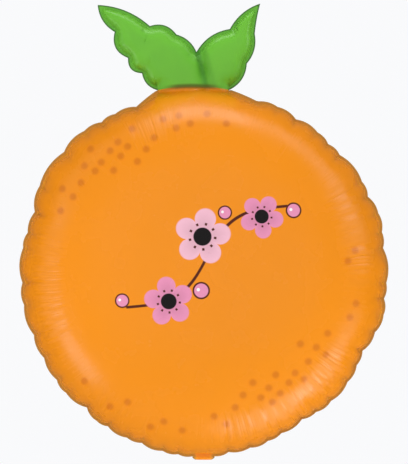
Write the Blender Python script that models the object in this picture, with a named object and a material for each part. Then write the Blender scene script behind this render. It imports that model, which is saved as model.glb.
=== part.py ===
"""Foil party balloon in the shape of an orange with two leaves.

Two films share one outline and are sealed together along its rim. Gas holds them apart, so the round
body takes the shape of a disc balloon and each leaf is a puffed lobe. The filling tail is folded
back under the body, and a flat valve sleeve runs through it into the body.

The outline is drawn in the seam plane, x to the right and z up, about the body's centre. The front
faces -Y. The origin is the middle of the tail's flat outer face.
"""
import math

import bpy
import numpy as np
from mathutils import Vector
from mathutils.geometry import delaunay_2d_cdt

# Driving dimensions of the body and rim, in metres
BODY_RADIUS = 0.208
FLANGE = 0.004
WALL = 0.0008
SEAM_GAP = 0.0003
SCALLOP_BULGE = 0.10
RIM_WAVE = 0.0016
RIM_WAVE_REACH = 0.030
PLEAT_REACH = 0.045

# Half of a flat disc balloon's thickness, as a share of its inflated radius, and its profile's steps
DISC_HALF_DEPTH = 0.59907
DISC_STEPS = 600

# Leaves: the half-depth of a lobe, how far in from the edge it is reached, and where green begins
LEAF_HALF_DEPTH = 0.019
LEAF_SHOULDER = 0.025
LEAF_LINE = 0.2079
CREASE_SHARPNESS = 8.0

# The distance in from an edge is drawn from inverse powers of the reach to each bit of the edge,
# scaled so that it is exact beside a straight edge
PULL_POWER = 5
PULL_SCALE = 0.75

# Filling tail, folded back under the body
TAIL_WIDTH = 0.025
NECK_DROP = 0.2078
NECK_STRAIGHT = 0.0005
TAIL_BEND_RADIUS = 0.0022
TAIL_RISE = math.radians(12.0)
TAIL_STRAIGHT = 0.046
TAIL_BEND_STEPS = 6
TAIL_COLUMNS = 4
MOUNT_ALONG = 0.024
NECK_SPREAD = 0.018

# Valve sleeve
SLEEVE_WIDTH = 0.021
SLEEVE_INSET = 0.004
SLEEVE_INSIDE = 0.110

# Mesh steps: along the rim, and inwards from it
RIM_STEP = 0.0066
EDGE_STEP = 0.0015
INSETS = (FLANGE, 0.0053, 0.0095, 0.0165, 0.0270)
INSET_STRIDES = (1, 1, 2, 2, 2)
BODY_RINGS = ((0.165, 60), (0.140, 48), (0.110, 36), (0.075, 24), (0.038, 12), (0.0, 1))
LEAF_GRID = 0.012
LEAF_GRID_BOTTOM = BODY_RADIUS * 0.93
LEAF_GRID_CLEARANCE = 0.010
LEAF_GRID_SPACING = RIM_STEP * 0.8
ROW_SPACING = RIM_STEP * 0.15
MERGE_DISTANCE = 1e-7

# An inset point is left out where another stretch of the edge is nearer than this share of its inset
CLEAR_SHARE = 0.93

# Places round the body's rim where the film is pinched: angle in degrees, counter-clockwise from
# +X, and how far the pinch lies outside the body's radius, in millimetres
RIM_PINCHES = (
    (112, -4), (119, -1), (124, -1), (130, 3), (139, 2), (152, 3), (160, -4), (167, -3), (172, -1),
    (183, -2), (190, -1), (200, -3), (208, -3), (216, -2), (221, -1), (229, -6), (234, -1), (238, -3),
    (245, -2), (250, -3), (257, -1), (262, -0.5),
)
RIM_PINCHES_PAST_TAIL = (
    (278, -3), (285, -3), (291, -4), (296, -6), (304, -8), (309, -5), (315, -3), (323, -3), (329, -5),
    (334, -7), (341, -2), (347, 2), (352, -1), (357, 0), (368, -2), (373, 0), (379, 2), (385, -2),
    (390, 0), (401, -3), (406, -4), (411, -2), (419, -4), (426, -1), (433, -4),
)

# Edge of the two leaves, counter-clockwise from the right root to the left root: x and z in
# millimetres, and the bulge of the edge that follows, as a share of its length
LEAF_EDGE = (
    (28.5, 207.9, 0.15), (49.2, 238.2, 0.12), (58.2, 271.9, -0.02), (64.4, 306.4, 0.10),
    (29.9, 277.5, 0.12), (-8.0, 251.4, 0.12), (-30.7, 271.3, 0.18), (-61.0, 280.9, 0.09),
    (-120.2, 304.8, 0.13), (-100.9, 274.1, 0.22), (-85.8, 244.6, 0.25), (-69.9, 227.2, 0.16),
    (-52.0, 207.9, 0.05),
)
LEAF_FORK = 5

# Where each leaf's lobe closes under the body and under the other leaf, x and z in millimetres
RIGHT_LEAF_HIDDEN = ((-5.0, 229.0), (-2.0, 186.0), (24.0, 180.0))
LEFT_LEAF_HIDDEN = ((-30.0, 178.0), (9.5, 184.0), (4.0, 227.0))
HIDDEN_BULGE = 0.12

# The body's own rim behind the leaves: angle in degrees and millimetres outside the body's radius
RIM_BEHIND_LEAVES = ((82.2, 3.0), (91.0, 7.0), (104.0, 7.0))

# Colours and roughness
ORANGE = (0.93, 0.30, 0.03, 1.0)
ORANGE_ROUGHNESS = 0.22
GREEN = (0.16, 0.50, 0.05, 1.0)
GREEN_ROUGHNESS = 0.25
CLEAR_FILM = (0.80, 0.80, 0.78, 1.0)
CLEAR_ROUGHNESS = 0.35

MM = 0.001

FILM_FACE = SEAM_GAP / 2 + WALL
TAIL_FACE = WALL / 2 + SEAM_GAP + WALL


def rim_point(angle_degrees, offset_mm):
    """A point on the body's rim."""
    radius = BODY_RADIUS + offset_mm * MM
    angle = math.radians(angle_degrees)
    return (radius * math.cos(angle), radius * math.sin(angle))


def arc_points(start, end, bulge, step):
    """Points from start up to but without end, on an arc that bulges outwards, to the right."""
    ax, az = start
    bx, bz = end
    length = math.hypot(bx - ax, bz - az)
    count = max(2, round(length / step))
    points = []
    for i in range(count):
        share = i / count
        rise = 4.0 * share * (1.0 - share) * bulge
        points.append((ax + (bx - ax) * share + (bz - az) * rise,
                       az + (bz - az) * share - (bx - ax) * rise))
    return points


def chain_points(stops, bulges, step):
    """Points along arcs from each stop to the next, without the last stop."""
    points = []
    for start, end, bulge in zip(stops, stops[1:], bulges):
        points += arc_points(start, end, bulge, step)
    return points


def leaf_stops():
    """The stops of the leaves' edge, in metres."""
    return [(x * MM, z * MM) for x, z, bulge in LEAF_EDGE]


def neck_corners():
    """The two points of the outline where the tail leaves it, left and right."""
    half = TAIL_WIDTH / 2
    return (-half, -NECK_DROP), (half, -NECK_DROP)


def outline_chains():
    """The outline as chains of stops and bulges: leaves, left rim, neck and right rim."""
    leaves = leaf_stops()
    neck_left, neck_right = neck_corners()
    left_rim = [leaves[-1]] + [rim_point(*pinch) for pinch in RIM_PINCHES] + [neck_left]
    right_rim = [neck_right] + [rim_point(*pinch) for pinch in RIM_PINCHES_PAST_TAIL] + [leaves[0]]
    leaf_bulges = [bulge for x, z, bulge in LEAF_EDGE]
    return (
        (leaves, leaf_bulges[:-1]),
        (left_rim, [SCALLOP_BULGE] * (len(left_rim) - 1)),
        ([neck_left, neck_right], [0.0]),
        (right_rim, [SCALLOP_BULGE] * (len(right_rim) - 1)),
    )


def outline_points(step):
    """The closed outline, counter-clockwise, and the places in it where the neck starts and ends."""
    points = []
    starts = []
    for stops, bulges in outline_chains():
        starts.append(len(points))
        is_neck = len(stops) == 2
        points += chain_points(stops, bulges, TAIL_WIDTH / TAIL_COLUMNS if is_neck else step)
    return np.array(points), starts[2], starts[3]


def leaf_lobe(first, last, hidden):
    """The closed edge of one leaf's lobe, finely stepped, from its stops and its hidden side."""
    stops = leaf_stops()[first:last + 1]
    bulges = [bulge for x, z, bulge in LEAF_EDGE[first:last]]
    points = chain_points(stops, bulges, EDGE_STEP)
    closing = [stops[-1]] + [(x * MM, z * MM) for x, z in hidden] + [stops[0]]
    points += chain_points(closing, [HIDDEN_BULGE] * (len(closing) - 1), EDGE_STEP)
    return np.array(points)


def right_leaf_lobe():
    """The right leaf's edge, closed behind the left leaf and under the body."""
    return leaf_lobe(0, LEAF_FORK, RIGHT_LEAF_HIDDEN)


def left_leaf_lobe():
    """The left leaf's edge, closed under the body and behind the right leaf."""
    return leaf_lobe(LEAF_FORK, len(LEAF_EDGE) - 1, LEFT_LEAF_HIDDEN)


def inside(points, edge):
    """Which points lie inside a closed edge."""
    x, z = points[:, 0, None], points[:, 1, None]
    ax, az = edge[:, 0], edge[:, 1]
    bx, bz = np.roll(ax, -1), np.roll(az, -1)
    crosses = (az > z) != (bz > z)
    rise = np.where(bz == az, 1.0, bz - az)
    left_of = x < ax + (z - az) * (bx - ax) / rise
    return (crosses & left_of).sum(axis=1) % 2 == 1


def edge_distance(points, edge):
    """Distance in from a closed edge, rounded where two sides are equally near, and 0 outside."""
    following = np.roll(edge, -1, axis=0)
    middles = (edge + following) / 2
    lengths = np.linalg.norm(following - edge, axis=1)
    reach = np.linalg.norm(points[:, None, :] - middles[None, :, :], axis=2)
    pull = PULL_SCALE * (lengths / np.maximum(reach, EDGE_STEP / 4) ** PULL_POWER).sum(axis=1)
    return np.where(inside(points, edge), pull ** (-1.0 / (PULL_POWER - 1)), 0.0)


def disc_profile(share_of_radius):
    """Height of an inflated flat disc over its seam plane, from 1 at the middle to 0 at the rim."""
    tilt = np.linspace(0.0, math.pi / 2, DISC_STEPS)
    steps = np.sqrt(np.sin((tilt[1:] + tilt[:-1]) / 2)) * np.diff(tilt) / 2
    height = np.concatenate(([0.0], np.cumsum(steps)))
    height = (height[-1] - height) / height[-1]
    return np.interp(np.arcsin(np.clip(share_of_radius, 0.0, 1.0) ** 2), tilt, height)


def fade(distance, reach):
    """1 at distance 0, falling smoothly to 0 at the reach."""
    share = np.clip(distance / reach, 0.0, 1.0)
    return 1.0 - share * share * (3.0 - 2.0 * share)


def body_rim():
    """The body's own rim as angles and radii, also where the leaves cover it."""
    left, left_bulges = outline_chains()[1]
    neck, neck_bulges = outline_chains()[2]
    right, right_bulges = outline_chains()[3]
    points = np.array(chain_points(left[1:], left_bulges[1:], EDGE_STEP)
                      + chain_points(neck, neck_bulges, EDGE_STEP)
                      + chain_points(right[:-1], right_bulges[:-1], EDGE_STEP)
                      + [rim_point(*pinch) for pinch in RIM_BEHIND_LEAVES])
    angles = np.arctan2(points[:, 1], points[:, 0]) % math.tau
    order = np.argsort(angles)
    return angles[order], np.linalg.norm(points, axis=1)[order]


def rim_radius(points, rim):
    """The body's rim radius in the direction of each point."""
    angles = np.arctan2(points[:, 1], points[:, 0])
    return np.interp(angles, rim[0], rim[1], period=math.tau)


def body_height(points, rim):
    """Height of the round body over the seam, pleated near its rim."""
    seal = BODY_RADIUS - FLANGE
    radius = np.linalg.norm(points, axis=1)
    local_in = rim_radius(points, rim) - FLANGE - radius
    weight = fade(local_in, PLEAT_REACH)
    depth_in = weight * local_in + (1.0 - weight) * (seal - radius)
    return DISC_HALF_DEPTH * seal * disc_profile(1.0 - depth_in / seal)


def leaf_height(points, edge):
    """Height of one leaf's lobe over the seam."""
    share = (edge_distance(points, edge) - FLANGE) / LEAF_SHOULDER
    return LEAF_HALF_DEPTH * disc_profile(1.0 - np.clip(share, 0.0, 1.0))


def film_height(points):
    """Height of the film over the seam: the highest of body and leaves, with soft creases."""
    heights = (body_height(points, body_rim()),
               leaf_height(points, right_leaf_lobe()),
               leaf_height(points, left_leaf_lobe()))
    return sum(height ** CREASE_SHARPNESS for height in heights) ** (1.0 / CREASE_SHARPNESS)


def scallop_stops():
    """Angles of the body's pinches, in order, for the wave of its rim."""
    angles = [angle for angle, offset in RIM_PINCHES + RIM_PINCHES_PAST_TAIL]
    return np.radians(np.array(angles))


def rim_wave(points, rim):
    """How far the sealed rim stands out of the seam plane: each scallop to the other side."""
    stops = scallop_stops()
    angles = np.arctan2(points[:, 1], points[:, 0]) % math.tau
    angles = np.where(angles < stops[0], angles + math.tau, angles)
    place = np.searchsorted(stops, angles, side="right") - 1
    inner = np.clip(place, 0, len(stops) - 2)
    share = (angles - stops[inner]) / (stops[inner + 1] - stops[inner])
    on_rim = (share >= 0.0) & (share <= 1.0)
    side = np.where(inner % 2 == 0, 1.0, -1.0)
    depth_in = np.maximum(rim_radius(points, rim) - np.linalg.norm(points, axis=1), 0.0)
    clear_of_neck = 1.0 - fade(np.abs(points[:, 0]) - TAIL_WIDTH / 2, NECK_SPREAD * 2)
    free = np.where(points[:, 1] < 0.0, clear_of_neck, 1.0)
    wave = side * 4.0 * share * (1.0 - share) * fade(depth_in, RIM_WAVE_REACH) * free
    return np.where(on_rim, RIM_WAVE * wave, 0.0)


def film_face(points):
    """Distance from the seam plane to a film's outer face on the rim: more where the valve passes."""
    beside = fade(np.abs(points[:, 0]) - TAIL_WIDTH / 2, NECK_SPREAD)
    low = np.where(points[:, 1] < 0.0, beside, 0.0)
    return FILM_FACE + (TAIL_FACE - FILM_FACE) * low


def inward_normals(outline):
    """Unit vectors pointing in from each point of the counter-clockwise outline."""
    along = np.roll(outline, -1, axis=0) - np.roll(outline, 1, axis=0)
    normals = np.stack((-along[:, 1], along[:, 0]), axis=1)
    return normals / np.linalg.norm(normals, axis=1, keepdims=True)


def spaced(points, kept, gap):
    """The points that keep a gap to those already kept and to each other."""
    chosen = list(kept)
    added = []
    for point in points:
        if not chosen or np.linalg.norm(np.array(chosen) - point, axis=1).min() >= gap:
            chosen.append(point)
            added.append(point)
    return added


def inset_points(outline):
    """Rows of points at set distances in from the outline."""
    fine, _, _ = outline_points(EDGE_STEP)
    normals = inward_normals(outline)
    points = []
    for inset, stride in zip(INSETS, INSET_STRIDES):
        row = (outline + normals * inset)[::stride]
        nearest = np.linalg.norm(row[:, None, :] - fine[None, :, :], axis=2).min(axis=1)
        row = row[(nearest > CLEAR_SHARE * inset) & inside(row, fine)]
        points += spaced(row, points, ROW_SPACING * stride)
    return points


def ring_points():
    """Rings of points over the middle of the body."""
    points = []
    for radius, count in BODY_RINGS:
        for i in range(count):
            angle = math.tau * i / count
            points.append(np.array((radius * math.cos(angle), radius * math.sin(angle))))
    return points


def leaf_middle_points(outline):
    """A grid of points over the middle of the leaves, clear of their edge."""
    corner, top = outline.min(axis=0), outline[:, 1].max()
    fine, _, _ = outline_points(EDGE_STEP)
    grid = []
    for z in np.arange(LEAF_GRID_BOTTOM, top, LEAF_GRID):
        for x in np.arange(corner[0], -corner[0], LEAF_GRID):
            grid.append((x, z))
    grid = np.array(grid)
    nearest = np.linalg.norm(grid[:, None, :] - fine[None, :, :], axis=2).min(axis=1)
    return grid[inside(grid, fine) & (nearest > LEAF_GRID_CLEARANCE)]


def triangulated_outline():
    """Points and triangles over the whole outline, and the outline points of the neck."""
    outline, neck_start, neck_end = outline_points(RIM_STEP)
    points = inset_points(outline)
    points += spaced(ring_points(), points, RIM_STEP)
    points += spaced(leaf_middle_points(outline), points, LEAF_GRID_SPACING)
    count = len(outline)
    every = [Vector(point) for point in outline] + [Vector(point) for point in points]
    loop = [(i, (i + 1) % count) for i in range(count)]
    flat, _, triangles, _, _, _ = delaunay_2d_cdt(every, loop, [], 1, MERGE_DISTANCE)
    neck = list(range(neck_start, neck_end + 1))
    return np.array([tuple(point) for point in flat]), triangles, neck


def tail_path(lead=0.0):
    """The middle of the folded tail: (y, z) points with unit vectors to its outer side."""
    rows = [((0.0, -NECK_DROP + lead), (-1.0, 0.0))]
    start_z = -NECK_DROP - NECK_STRAIGHT
    turn = math.pi / 2 + TAIL_RISE
    for i in range(TAIL_BEND_STEPS + 1):
        angle = turn * i / TAIL_BEND_STEPS
        outer = (-math.cos(angle), -math.sin(angle))
        rows.append(((TAIL_BEND_RADIUS + TAIL_BEND_RADIUS * outer[0],
                      start_z + TAIL_BEND_RADIUS * outer[1]), outer))
    (y, z), outer = rows[-1]
    along = (-outer[1], outer[0])
    rows.append(((y + along[0] * TAIL_STRAIGHT, z + along[1] * TAIL_STRAIGHT), outer))
    return rows


def mount_point():
    """The middle of the tail's flat outer face, about the body's centre."""
    (y, z), outer = tail_path()[-2]
    along = (-outer[1], outer[0])
    return Vector((0.0,
                   y + along[0] * MOUNT_ALONG + outer[0] * TAIL_FACE,
                   z + along[1] * MOUNT_ALONG + outer[1] * TAIL_FACE))


def make_material(name, color, roughness):
    """A Principled material."""
    material = bpy.data.materials.new(name)
    material.use_nodes = True
    shader = material.node_tree.nodes["Principled BSDF"]
    shader.inputs["Base Color"].default_value = color
    shader.inputs["Roughness"].default_value = roughness
    shader.inputs["Metallic"].default_value = 0.0
    return material


def add_object(name, vertices, faces, materials, root):
    """A named object, smooth shaded, under the root."""
    mesh = bpy.data.meshes.new(name)
    shift = mount_point()
    mesh.from_pydata([Vector(vertex) - shift for vertex in vertices], [], faces)
    mesh.shade_smooth()
    for material in materials:
        mesh.materials.append(material)
    thing = bpy.data.objects.new(name, mesh)
    bpy.context.collection.objects.link(thing)
    thing.parent = root
    return thing


def film_sheet(side):
    """The outer face of one film with its half of the tail: -1 for the front, 1 for the back."""
    flat, triangles, neck = triangulated_outline()
    rim = body_rim()
    middle = rim_wave(flat, rim)
    out = film_face(flat) + film_height(flat)
    vertices = [(x, mid + side * far, z) for (x, z), mid, far in zip(flat, middle, out)]
    faces = [tuple(triangle) if side < 0 else tuple(reversed(triangle)) for triangle in triangles]
    row = neck
    for (y, z), outer in tail_path()[1:]:
        start = len(vertices)
        reach = -side * TAIL_FACE
        for i in neck:
            vertices.append((flat[i][0], y + outer[0] * reach, z + outer[1] * reach))
        following = list(range(start, start + len(neck)))
        for a, b, c, d in zip(row, row[1:], following[1:], following):
            faces.append((a, d, c, b) if side < 0 else (a, b, c, d))
        row = following
    return vertices, faces


def is_leaf(face, vertices):
    """Whether a face of the film belongs to the leaves, by the height of its middle."""
    return sum(vertices[i][2] for i in face) / len(face) > LEAF_LINE


def add_panel(name, side, orange, green, root):
    """One film, as thick as the wall, inwards from its outer face."""
    vertices, faces = film_sheet(side)
    panel = add_object(name, vertices, faces, (orange, green), root)
    for polygon, face in zip(panel.data.polygons, faces):
        polygon.material_index = 1 if is_leaf(face, vertices) else 0
    skin = panel.modifiers.new("film", "SOLIDIFY")
    skin.thickness = WALL
    skin.offset = -1.0
    skin.use_rim = True
    skin.use_quality_normals = True


def add_valve_sleeve(root):
    """The flat valve sleeve, from just inside the tail's end up into the body."""
    rows = tail_path(lead=SLEEVE_INSIDE)
    (y, z), outer = rows[-1]
    along = (-outer[1], outer[0])
    rows[-1] = ((y - along[0] * SLEEVE_INSET, z - along[1] * SLEEVE_INSET), outer)
    half = SLEEVE_WIDTH / 2
    vertices = []
    faces = []
    for (y, z), outer in rows:
        for x, face in ((-half, 1), (half, 1), (half, -1), (-half, -1)):
            reach = face * WALL / 2
            vertices.append((x, y + outer[0] * reach, z + outer[1] * reach))
    for row in range(len(rows) - 1):
        a = row * 4
        for i in range(4):
            j = (i + 1) % 4
            faces.append((a + i, a + 4 + i, a + 4 + j, a + j))
    last = len(vertices) - 4
    faces.append((0, 1, 2, 3))
    faces.append((last + 3, last + 2, last + 1, last))
    clear = make_material("valve_film", CLEAR_FILM, CLEAR_ROUGHNESS)
    add_object("valve_sleeve", vertices, faces, (clear,), root)


def build():
    """The whole balloon."""
    for thing in list(bpy.data.objects):
        bpy.data.objects.remove(thing)
    root = bpy.data.objects.new("balloon", None)
    bpy.context.collection.objects.link(root)
    for name, side in (("front_panel", -1.0), ("back_panel", 1.0)):
        orange = make_material(name + "_orange", ORANGE, ORANGE_ROUGHNESS)
        green = make_material(name + "_green", GREEN, GREEN_ROUGHNESS)
        add_panel(name, side, orange, green, root)
    add_valve_sleeve(root)


build()
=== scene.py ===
"""Foil party balloon in the shape of an orange with two leaves: its looks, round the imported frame.

The outline and driving dimensions are those of the solids. Each film is meshed in its flat pattern,
folded into pleats where the rim is pinched, and inflated by a cloth simulation with its rim held.
"""

import math

import bpy
import numpy as np
from mathutils import Matrix, Vector
from mathutils.geometry import delaunay_2d_cdt


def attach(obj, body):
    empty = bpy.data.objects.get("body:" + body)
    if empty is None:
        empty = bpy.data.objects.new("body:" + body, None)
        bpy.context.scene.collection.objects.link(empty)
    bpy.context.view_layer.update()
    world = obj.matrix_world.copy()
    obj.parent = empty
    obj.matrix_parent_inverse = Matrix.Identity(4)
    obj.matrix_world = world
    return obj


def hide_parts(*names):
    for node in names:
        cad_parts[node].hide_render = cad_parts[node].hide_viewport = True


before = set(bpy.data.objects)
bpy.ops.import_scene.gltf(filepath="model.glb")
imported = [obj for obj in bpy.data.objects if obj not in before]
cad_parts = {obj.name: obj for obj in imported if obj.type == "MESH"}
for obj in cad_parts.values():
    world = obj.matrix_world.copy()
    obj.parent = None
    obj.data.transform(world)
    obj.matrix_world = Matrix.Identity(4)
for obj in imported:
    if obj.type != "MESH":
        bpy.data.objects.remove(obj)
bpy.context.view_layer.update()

MM = 0.001

# Driving dimensions, in metres, as in the solids
BODY_RADIUS = 0.208
FLANGE = 0.004
SEAL_RADIUS = BODY_RADIUS - FLANGE
SCALLOP_BULGE = 0.10
LEAF_HALF_DEPTH = 0.019
LEAF_SHOULDER = 0.025
CREASE_SHARPNESS = 8.0
TAIL_WIDTH = 0.025
NECK_DROP = 0.2078
NECK_STRAIGHT = 0.0005
NECK_SPREAD = 0.018
TAIL_BEND_RADIUS = 0.0022
TAIL_RISE = math.radians(12.0)
TAIL_STRAIGHT = 0.046
TAIL_FACE = 0.0015
MOUNT_ALONG = 0.024
CORNER_LIFT = 0.0013
CORNER_LIFT_POWER = 6.0
CORNER_LIFT_REACH = 0.012

# The film as it is drawn here: its thickness, and its outer face's distance from the seam plane
FILM = 0.00025
FILM_FACE = 0.00035
RIM_WAVE = 0.0014
RIM_WAVE_REACH = 0.016
PLEAT_REACH = 0.070

# The photo's frame: image size, the body's centre in it, and the real size of a pixel at the seam
IMAGE_SIZE = (408, 464)
CENTRE_PIXEL = (203.5, 273.3)
PIXEL = 1.136 * MM
SENSOR = 24.0
CAMERA_DISTANCE = 3.2
CAMERA_ASIDE = (IMAGE_SIZE[0] / 2 - CENTRE_PIXEL[0]) * PIXEL
CAMERA_UP = (CENTRE_PIXEL[1] - IMAGE_SIZE[1] / 2) * PIXEL

# Pinches of the body's rim: degrees counter-clockwise from +X, and millimetres outside its radius
RIM_PINCHES = (
    (112, -4), (119, -1), (124, -1), (130, 3), (139, 2), (152, 3), (160, -4), (167, -3), (172, -1),
    (183, -2), (190, -1), (200, -3), (208, -3), (216, -2), (221, -1), (229, -6), (234, -1), (238, -3),
    (245, -2), (250, -3), (257, -1), (262, -0.5),
)
RIM_PINCHES_PAST_TAIL = (
    (278, -3), (285, -3), (291, -4), (296, -6), (304, -8), (309, -5), (315, -3), (323, -3), (329, -5),
    (334, -7), (341, -2), (347, 2), (352, -1), (357, 0), (368, -2), (373, 0), (379, 2), (385, -2),
    (390, 0), (401, -3), (406, -4), (411, -2), (419, -4), (426, -1), (433, -4),
)

# Edge of the leaves, from the right root to the left root: x, z in millimetres, and the next bulge
LEAF_EDGE = (
    (28.5, 207.9, 0.15), (49.2, 238.2, 0.12), (58.2, 271.9, -0.02), (64.4, 306.4, 0.10),
    (29.9, 277.5, 0.12), (-8.0, 251.4, 0.12), (-30.7, 271.3, 0.18), (-61.0, 280.9, 0.09),
    (-120.2, 304.8, 0.13), (-100.9, 274.1, 0.22), (-85.8, 244.6, 0.25), (-69.9, 227.2, 0.16),
    (-52.0, 207.9, 0.05),
)
LEAF_FORK = 5
RIGHT_LEAF_HIDDEN = ((-5.0, 229.0), (-2.0, 186.0), (24.0, 180.0))
LEFT_LEAF_HIDDEN = ((-30.0, 178.0), (9.5, 184.0), (4.0, 227.0))
RIM_BEHIND_LEAVES = ((82.2, 3.0), (91.0, 7.0), (104.0, 7.0))

# The flat pattern: where the leaves join the body, and how much longer the leaf film is when flat
ROOT_RIGHT = math.atan2(207.9, 28.5)
ROOT_LEFT = math.atan2(207.9, -52.0)
CREASE_ARC = 0.018
LEAF_STRETCH = 1.10

# Mesh steps in the flat pattern
EDGE_STEP = 0.0015
COLUMN_STEP = math.radians(0.80)
NECK_COLUMNS = 10
FLANGE_ROWS = 3
RIM_ROW_STEP = 0.0034
RIM_BAND = 0.066
MIDDLE_STEP = 0.0062
LEAF_STEP = 0.0034
TAIL_BEND_STEPS = 12
TAIL_STRAIGHT_STEPS = 16
LEAF_INSETS = (0.0013, 0.0027, FLANGE, 0.0043, 0.0050, 0.0062, 0.0080, 0.0102, 0.0130)

# Pleats: how much of the flat film's spare length goes into them, and where they start and end
SCALLOP_SHARE = 0.16
SCALLOP_SHARPNESS = 0.60
FINE_SHARE = 0.05
FINE_WAVES = (97, 131, 158)
PLEAT_START = 0.012
PLEAT_LENGTH = (0.042, 0.068)
PLEAT_STRENGTH = (0.60, 1.05)
LONG_CREASES = (160, 183, 309, 334)
CREASE_LENGTH = 0.100
CREASE_STRENGTH = 1.9
LEAF_CLEARANCE = math.radians(9.0)

# The cloth simulation's settings
CLOTH_FRAMES = 12
CLOTH_MASS = 0.0006
CLOTH_PRESSURE = 400.0
CLOTH_TENSION = 30.0
CLOTH_BENDING = 0.00001
MOST_MOVE = 0.008


def rim_point(angle_degrees, offset_mm):
    """A point on the body's rim."""
    radius = BODY_RADIUS + offset_mm * MM
    angle = math.radians(angle_degrees)
    return (radius * math.cos(angle), radius * math.sin(angle))


def arc_points(start, end, bulge, step):
    """Points from start up to but without end, on an arc that bulges outwards, to the right."""
    ax, az = start
    bx, bz = end
    length = math.hypot(bx - ax, bz - az)
    count = max(2, round(length / step))
    points = []
    for i in range(count):
        share = i / count
        rise = 4.0 * share * (1.0 - share) * bulge
        points.append((ax + (bx - ax) * share + (bz - az) * rise,
                       az + (bz - az) * share - (bx - ax) * rise))
    return points


def chain_points(stops, bulges, step):
    """Points along arcs from each stop to the next, without the last stop."""
    points = []
    for start, end, bulge in zip(stops, stops[1:], bulges):
        points += arc_points(start, end, bulge, step)
    return points


def leaf_stops():
    """The stops of the leaves' edge, in metres."""
    return [(x * MM, z * MM) for x, z, bulge in LEAF_EDGE]


def leaf_lobe(first, last, hidden):
    """The closed edge of one leaf's lobe, from its stops and its hidden side."""
    stops = leaf_stops()[first:last + 1]
    bulges = [bulge for x, z, bulge in LEAF_EDGE[first:last]]
    points = chain_points(stops, bulges, EDGE_STEP)
    closing = [stops[-1]] + [(x * MM, z * MM) for x, z in hidden] + [stops[0]]
    points += chain_points(closing, [0.12] * (len(closing) - 1), EDGE_STEP)
    return np.array(points)


def leaf_outline(step):
    """The free edge of both leaves, from the right root to the left root."""
    bulges = [bulge for x, z, bulge in LEAF_EDGE[:-1]]
    return np.array(chain_points(leaf_stops(), bulges, step) + [leaf_stops()[-1]])


def body_rim():
    """The body's rim as angles and radii, also where the leaves cover it."""
    half = TAIL_WIDTH / 2
    left = [rim_point(*pinch) for pinch in RIM_PINCHES] + [(-half, -NECK_DROP)]
    right = [(half, -NECK_DROP)] + [rim_point(*pinch) for pinch in RIM_PINCHES_PAST_TAIL]
    points = chain_points(left, [SCALLOP_BULGE] * len(left), EDGE_STEP)
    points += chain_points([left[-1], right[0]], [0.0], EDGE_STEP)
    points += chain_points(right, [SCALLOP_BULGE] * len(right), EDGE_STEP)
    points = np.array(points + [rim_point(*pinch) for pinch in RIM_BEHIND_LEAVES])
    angles = np.arctan2(points[:, 1], points[:, 0]) % math.tau
    order = np.argsort(angles)
    return angles[order], np.linalg.norm(points, axis=1)[order]


def disc_tables():
    """Tilt, arc from the middle, radius and height along an inflated flat disc of the seal's radius."""
    tilt = np.linspace(0.0, math.pi / 2, 4000)
    radius = SEAL_RADIUS * np.sqrt(np.sin(tilt))
    steps = SEAL_RADIUS * np.sqrt(np.sin((tilt[1:] + tilt[:-1]) / 2)) * np.diff(tilt) / 2
    height = np.concatenate(([0.0], np.cumsum(steps)))
    arc = np.concatenate(([0.0], np.cumsum(np.hypot(np.diff(radius), steps))))
    return tilt, arc, radius, height[-1] - height


TILT, ARC, RADIUS, HEIGHT = disc_tables()
FLAT_RADIUS = ARC[-1]
RIM = body_rim()


def fade(distance, reach):
    """1 at distance 0, falling smoothly to 0 at the reach."""
    share = np.clip(distance / reach, 0.0, 1.0)
    return 1.0 - share * share * (3.0 - 2.0 * share)


def seal_shift(angle):
    """How far the seal line lies outside its mean radius."""
    return np.interp(angle, RIM[0], RIM[1], period=math.tau) - BODY_RADIUS


def crease_arc(angle):
    """Arc from the body's covered seal up to its crease with the leaves, 0 outside their roots."""
    middle = (ROOT_LEFT + ROOT_RIGHT) / 2
    half = (ROOT_LEFT - ROOT_RIGHT) / 2
    share = (angle - middle) / half
    return CREASE_ARC * np.sqrt(np.clip(1.0 - share * share, 0.0, 1.0))


def leaf_base(angle):
    """Radius at which the leaf film starts, in the inflated plan."""
    smooth_shift = np.interp(angle, *zip(*[(math.radians(a), b * MM) for a, b in RIM_BEHIND_LEAVES]))
    arc = FLAT_RADIUS - crease_arc(angle)
    return np.interp(arc, ARC, RADIUS) + smooth_shift


def leaf_to_flat(points):
    """Flat pattern places of points of the leaves in the inflated plan."""
    angle = np.arctan2(points[:, 1], points[:, 0])
    radius = np.linalg.norm(points, axis=1)
    arc = FLAT_RADIUS - crease_arc(angle) + LEAF_STRETCH * (radius - leaf_base(angle))
    return np.stack((arc * np.cos(angle), arc * np.sin(angle)), axis=1)


def flat_to_plan(flat):
    """Inflated plan of flat pattern points, and which of them are leaf film."""
    angle = np.arctan2(flat[:, 1], flat[:, 0])
    arc = np.linalg.norm(flat, axis=1)
    depth = FLAT_RADIUS - arc
    rooted = (angle > ROOT_RIGHT) & (angle < ROOT_LEFT)
    is_leaf = np.where(rooted, depth < crease_arc(angle), depth < -FLANGE * 1.05)
    body = np.interp(arc, ARC, RADIUS) + np.maximum(-depth, 0.0)
    body = body + seal_shift(angle) * fade(depth, PLEAT_REACH)
    leaf = leaf_base(angle) + (crease_arc(angle) - depth) / LEAF_STRETCH
    radius = np.where(is_leaf, leaf, body)
    return np.stack((radius * np.cos(angle), radius * np.sin(angle)), axis=1), is_leaf


def inside(points, edge):
    """Which points lie inside a closed edge."""
    x, z = points[:, 0, None], points[:, 1, None]
    ax, az = edge[:, 0], edge[:, 1]
    bx, bz = np.roll(ax, -1), np.roll(az, -1)
    crosses = (az > z) != (bz > z)
    rise = np.where(bz == az, 1.0, bz - az)
    left_of = x < ax + (z - az) * (bx - ax) / rise
    return (crosses & left_of).sum(axis=1) % 2 == 1


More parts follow.
